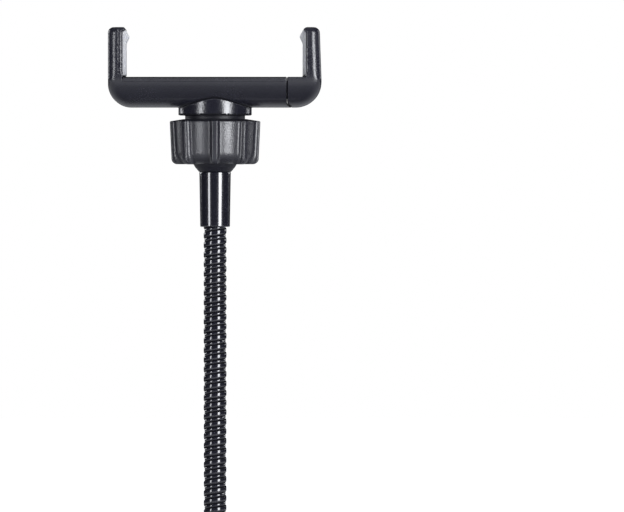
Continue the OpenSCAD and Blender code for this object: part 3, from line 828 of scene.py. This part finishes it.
# %% Turn the sleeves
rim, bore_rim = 0.35, 0.3
neck_bore_r, stud_bore_r, pinhole_r = 4.05, 3.2, 0.4
sleeve_low_r, sleeve_high_r = 5.2, 5.525
sleeve_low_z, sleeve_high_z, foot_top_z = 153.3, 172.6, 19.3
taper_from, taper_to = (5.21, 154.2), (5.51, 171.7)
stud_bore_low_z, stud_bore_high_z, neck_bore_top_z = 160.3, 172.0, 160.0
foot_side_from, foot_side_to, foot_bore_z = 1.2, 18.1, 12.6

upper = arc((sleeve_low_r - rim, sleeve_low_z + rim), rim, -90, 0)
upper += straight(taper_from, taper_to, 8)
upper += arc((sleeve_high_r - rim, sleeve_high_z - rim), rim, 0, 90)
upper += [(stud_bore_r, sleeve_high_z), (stud_bore_r, stud_bore_high_z),
          (stud_bore_r, stud_bore_low_z), (neck_bore_r, neck_bore_top_z)]
upper += arc((neck_bore_r + bore_rim, sleeve_low_z + bore_rim), bore_rim, 180, 270)

lower = arc((sleeve_high_r - rim, rim), rim, -90, 0)
lower += straight((sleeve_high_r, foot_side_from), (sleeve_high_r, foot_side_to), 8)
lower += arc((sleeve_high_r - rim, foot_top_z - rim), rim, 0, 90)
lower += arc((neck_bore_r + bore_rim, foot_top_z - bore_rim), bore_rim, 90, 180)
lower += [(neck_bore_r, foot_bore_z), (pinhole_r, foot_bore_z - 0.1), (pinhole_r, 0.0)]

for name, profile, body, node in (("sleeve_under_ball", upper, "neck_top", "upper_sleeve"),
                                  ("sleeve_at_foot", lower, "neck_foot", "lower_sleeve")):
    piece = lathe(name, profile)
    piece.data.materials.append(sleeve_black)
    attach(piece, body)
    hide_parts(node)
    print(name, "rings", len(profile))

# %% [markdown]
# The ball sits on a stud that goes down into the sleeve, and a short flare leads from one to the other. The
# profile is a closed loop here too, so it leaves a pinhole along the axis, which the seat hides.

# %% Turn the ball and its stud
ball_r, stud_r, stud_foot_z = 8.5, 3.0, 164.6
flare_from, flare_to = (5.75, 172.75), (6.6, 173.8)
ball_starts = math.degrees(math.atan2(-5.2, 6.72))
ball_ends = 87

stud = [(pinhole_r, stud_foot_z), (2.9, stud_foot_z), (stud_r, 164.8), (stud_r, sleeve_high_z),
        (5.55, sleeve_high_z)]
stud += straight(flare_from, flare_to, 4)
stud += arc((0, ball_z), ball_r, ball_starts, ball_ends, 30)
ball = lathe("ball_and_stud", stud)
ball.data.materials.append(ball_black)
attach(ball, "ball")
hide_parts("ball_stud")
print("ball", 2 * ball_r, "mm, rings", len(stud))

# %% [markdown]
# The nut is turned too, but at each of its eight ribs the profile swells: flat on the rib's top, a small
# radius at its edge, and a hollow rounding down to the panel. So it has two profiles, one for a panel and one
# for a rib, and each column of points takes a share of both. The columns stand close together at the ribs
# and far apart on the panels.

# %% Shape the ribbed nut
nut_low, nut_top, crown_z = 175.3, 190.4, 191.1
panel_r, tip_r, bore_r, draft, edge_r = 14.0, 15.9, 10.58, 0.6, 0.4
panel_foot, rib_foot = 4.2, 2.0
rib_count, rib_half, rib_edge, rib_hollow = 8, 1.05, 0.5, 1.3
panel_columns = 9
nut_floor = [(bore_r, 178.3), (9.0, 176.3), (8.5, 176.2), (8.15, 175.45), (8.4, nut_low)]


def nut_profile(radius, foot_r):
    """The nut's section with its side at one radius, from the foot up and over into the bore."""
    side_from = (radius - draft + 0.03, nut_low + foot_r + 0.7)
    side_to = (radius - edge_r * 0.06, nut_top - edge_r - 0.15)
    foot = arc((radius - draft - foot_r, nut_low + foot_r), foot_r, -90, 0, 10)
    side = straight(side_from, side_to, 8)
    edge = arc((radius - edge_r, nut_top - edge_r), edge_r, 0, 80, 5)
    over = straight((radius - edge_r - 0.4, nut_top + 0.08), (bore_r + 0.9, crown_z - 0.05), 5)
    bore = [(bore_r + 0.6, crown_z), (bore_r + 0.1, crown_z - 0.08), (bore_r, crown_z - 0.4)]
    return foot + side + edge + over + bore + nut_floor


def rib_rise(steps=5):
    """Pairs of distance from a rib's middle line and share of its height, from its top to the panel."""
    tall = tip_r - panel_r
    pairs = [(0.0, 1.0), (0.3, 1.0)]
    for a in np.radians(np.linspace(90, 8, steps + 1)):
        pairs.append((rib_half - rib_edge + rib_edge * math.cos(a), 1 - rib_edge * (1 - math.sin(a)) / tall))
    for a in np.radians(np.linspace(174, 90, steps + 4)):
        across = rib_half + rib_hollow + rib_hollow * math.cos(a) + 0.02
        pairs.append((across, rib_hollow * (1 - math.sin(a)) / tall))
    return pairs


def nut_columns():
    """The angle of every column and its share of the rib's profile."""
    angles, shares = [], []
    pairs = rib_rise()
    gap = 2 * math.pi / rib_count
    last = pairs[-1][0] / panel_r
    panel = [(a, 0.0) for a in np.linspace(last, gap - last, panel_columns)[1:-1]]
    one = [(y / panel_r, s) for y, s in pairs] + panel + [(gap - y / panel_r, s) for y, s in pairs[:0:-1]]
    for i in range(rib_count):
        for a, s in one:
            angles.append(a + i * gap - math.pi / 2)
            shares.append(s)
    return np.array(angles), np.array(shares)


# %% [markdown]
# With the columns and both profiles known, each ring of the nut is a row of radii and heights, one for each
# column: the panel's place plus the column's share of the way to the rib's place.

# %% Turn the nut
nut_angles, nut_shares = nut_columns()
at_panel, at_rib = nut_profile(panel_r, panel_foot), nut_profile(tip_r, rib_foot)
nut_rings = [(p[0] + (q[0] - p[0]) * nut_shares, p[1] + (q[1] - p[1]) * nut_shares)
             for p, q in zip(at_panel, at_rib)]
nut = turned("ribbed_nut", nut_rings, nut_angles)
nut.data.materials.append(nut_black)
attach(nut, "nut")
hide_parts("locking_nut")
print("nut columns", len(nut_angles), "rings", len(nut_rings))

# %% [markdown]
# The frame's other solids already have the right shape and only need their finish.

# %% Dress the frame's own pieces
finishes = {
    pad_rubber: ["fixed_jaw_pad", "sliding_jaw_pad"],
    steel: ["cover_screws", "housing_spring_pins", "jaw_spring_pins", "stop_pin"],
}
for material, names in finishes.items():
    for name in names:
        mesh = frame["nodes"][name].data
        mesh.materials.clear()
        mesh.materials.append(material)
print("dressed", sum(len(names) for names in finishes.values()), "pieces of the frame")

# %% [markdown]
# The neck is two steel wires wound together: a wide one makes the turns that stand out, and a thinner one is
# wedged into the groove between them. Both have nearly flat crests. Each is swept along its helix as a tube,
# because rings wouldn't climb and a bump wouldn't show in the outline. A plain tube stands inside them, so
# that nothing shows through.

# %% Sweep a wire along a helix
pitch = 3.35 * MM
crest_squareness = 0.36


def flat_round(b):
    """Cosine and sine of a section that is fuller than a circle, so that the wire's crest is nearly flat."""
    c, s = math.cos(b), math.sin(b)
    return math.copysign(abs(c) ** crest_squareness, c), math.copysign(abs(s) ** crest_squareness, s)


def helix_tube(radius, wire, half_width, turns, start_z, lead, steps=30, sides=16):
    """Points and faces of a right-handed coil of flattened wire that climbs one pitch a turn."""
    count = round(turns * steps)
    slope = math.atan2(pitch, 2 * math.pi * radius)
    points, faces = [], []
    for i in range(count + 1):
        a = 2 * math.pi * (i / steps)
        z = start_z + pitch * i / steps
        turn = a + lead
        out = np.array([math.cos(turn), math.sin(turn), 0.0])
        level = math.cos(slope)
        along = np.array([-math.sin(turn) * level, math.cos(turn) * level, math.sin(slope)])
        up = np.cross(out, along) * -1
        centre = out * radius + np.array([0.0, 0.0, z])
        for k in range(sides):
            outward, upward = flat_round(2 * math.pi * k / sides)
            points.append(centre + wire * outward * out + half_width * upward * up)
    for i in range(count):
        for k in range(sides):
            here, there = i * sides, (i + 1) * sides
            nxt = (k + 1) % sides
            faces.append((here + k, here + nxt, there + nxt, there + k))
    faces.append(tuple(range(sides - 1, -1, -1)))
    faces.append(tuple(count * sides + k for k in range(sides)))
    return points, faces


def straight_tube(radius, start_z, end_z, sides=20, rings=12):
    """Points and faces of the plain tube inside the wires, with rings enough to bend."""
    turns = [2 * math.pi * k / sides for k in range(sides)]
    points = [(radius * math.cos(a), radius * math.sin(a), z)
              for z in np.linspace(start_z, end_z, rings) for a in turns]
    faces = [(r * sides + k, r * sides + (k + 1) % sides,
              (r + 1) * sides + (k + 1) % sides, (r + 1) * sides + k)
             for r in range(rings - 1) for k in range(sides)]
    faces.append(tuple(range(sides - 1, -1, -1)))
    faces.append(tuple((rings - 1) * sides + k for k in range(sides)))
    return points, faces


def joined(*parts):
    """Several lots of points and faces as one."""
    points, faces = [], []
    for more_points, more_faces in parts:
        base = len(points)
        points += [tuple(p) for p in more_points]
        faces += [tuple(base + i for i in face) for face in more_faces]
    return points, faces


# %% [markdown]
# The real neck bends anywhere, but the frame's bends at four places. So it is made in four lengths that meet
# across the wire, one across each joint. The crests are gloss, and the flanks, told apart by how much a face
# looks up or down, get painted shade: the darker matte black, so that they don't mirror the floor.

# %% Wind the neck in four lengths
joint_z = {j["name"]: j["pos_m"][2] for j in frame["joints"] if "pos_m" in j}
bends = [joint_z[f"neck_bend_{i}"] for i in range(1, 5)]
reach = (bends[1] - bends[0]) / 2
neck_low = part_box("neck_stretch_1")[0].z
neck_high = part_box("neck_stretch_5")[1].z
cuts = [neck_low, bends[0] + reach, bends[1] + reach, bends[2] + reach, neck_high]
neck_stands_for = [["neck_stretch_1"], ["neck_stretch_2"], ["neck_stretch_3"],
                   ["neck_stretch_4", "neck_stretch_5"]]
coil_wire = 0.70 * MM
coil_half_width = 1.00 * MM
coil_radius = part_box("neck_stretch_3")[1].x - coil_wire
wedge_wire = 0.60 * MM
wedge_half_width = 0.62 * MM
wedge_radius = 3.10 * MM
core_radius = 2.75 * MM
first_lead = 0.40 * 2 * math.pi
end_room = coil_half_width
flank_tilt = 0.2

for i in range(4):
    low = cuts[i] + (end_room if i == 0 else 0)
    high = cuts[i + 1] - (end_room if i == 3 else 0)
    turns = (high - low) / pitch
    lead = first_lead + 2 * math.pi * (low - neck_low) / pitch
    coil = helix_tube(coil_radius, coil_wire, coil_half_width, turns, low, lead)
    wedge = helix_tube(wedge_radius, wedge_wire, wedge_half_width, turns, low, lead + math.pi, sides=12)
    core = straight_tube(core_radius, low, high)
    piece = new_object(f"neck_length_{i + 1}", *joined(coil, wedge, core))
    piece.data.materials.append(neck_black)
    piece.data.materials.append(painted_shade_black)
    # painted shade: faces that look up or down, the flanks, take the darker matte black
    for face in piece.data.polygons:
        face.material_index = int(abs(face.normal.z) > flank_tilt)
    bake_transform(piece)
    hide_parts(*neck_stands_for[i])
    print(piece.name, "turns", round(turns, 2), "faces", len(piece.data.polygons))

# %% [markdown]
# Two tension springs pull the sliding jaw shut. They are close wound at rest and open up between their
# coils when the jaw is drawn out, so each is a true coil that stretches from its pin in the housing to its
# pin in the jaw. A ring at each end stands for the hook round the pin.

# %% Wind the springs
spring_wire = 0.25 * MM
coil_step = 2.04 * spring_wire
pin_gap = 1.2 * MM


def ring_at(centre, radius, wire, steps=24, sides=6):
    """Points and faces of a wire ring that lies flat."""
    points, faces = [], []
    for i in range(steps):
        a = 2 * math.pi * i / steps
        for k in range(sides):
            b = 2 * math.pi * k / sides
            r = radius + wire * math.cos(b)
            lift = wire * math.sin(b)
            points.append((centre[0] + r * math.cos(a), centre[1] + r * math.sin(a), centre[2] + lift))
    for i in range(steps):
        for k in range(sides):
            j, nxt = (i + 1) % steps, (k + 1) % sides
            faces.append((i * sides + k, j * sides + k, j * sides + nxt, i * sides + nxt))
    return points, faces


def coil_along_x(centre_y, centre_z, radius, from_x, to_x, steps=12, sides=6):
    """Points and faces of a close-wound coil that lies along x."""
    count = int((to_x - from_x) / coil_step) * steps
    points, faces = [], []
    for i in range(count + 1):
        a = 2 * math.pi * i / steps
        x = from_x + (to_x - from_x) * i / count
        out = np.array([0.0, math.cos(a), math.sin(a)])
        for k in range(sides):
            b = 2 * math.pi * k / sides
            aside = np.array([spring_wire * math.sin(b), 0, 0])
            r = radius + spring_wire * math.cos(b)
            points.append(np.array([x, centre_y, centre_z]) + out * r + aside)
    for i in range(count):
        for k in range(sides):
            nxt = (k + 1) % sides
            faces.append((i * sides + k, (i + 1) * sides + k, (i + 1) * sides + nxt, i * sides + nxt))
    faces.append(tuple(range(sides)))
    faces.append(tuple(count * sides + k for k in range(sides - 1, -1, -1)))
    return points, faces


def spring_coil(node):
    """A spring in the place of the frame's plain one, and the two ends between which it stretches."""
    low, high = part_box(node)
    radius = (high.z - low.z) / 2 - spring_wire
    y, z = (low.y + high.y) / 2, (low.z + high.z) / 2
    coil = coil_along_x(y, z, radius, low.x + 2 * pin_gap, high.x - 2 * pin_gap)
    hooks = [ring_at((x, y, z), pin_gap, spring_wire)
             for x in (low.x + pin_gap + spring_wire, high.x - pin_gap - spring_wire)]
    return joined(coil, *hooks), (low.x + 3 * pin_gap, high.x - 3 * pin_gap)


for node in ("front_spring", "rear_spring"):
    shape, ends = spring_coil(node)
    piece = new_object(node + "_coil", *shape)
    piece.data.materials.append(steel)
    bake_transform(piece)
    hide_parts(node)
    print(piece.name, "faces", len(piece.data.polygons))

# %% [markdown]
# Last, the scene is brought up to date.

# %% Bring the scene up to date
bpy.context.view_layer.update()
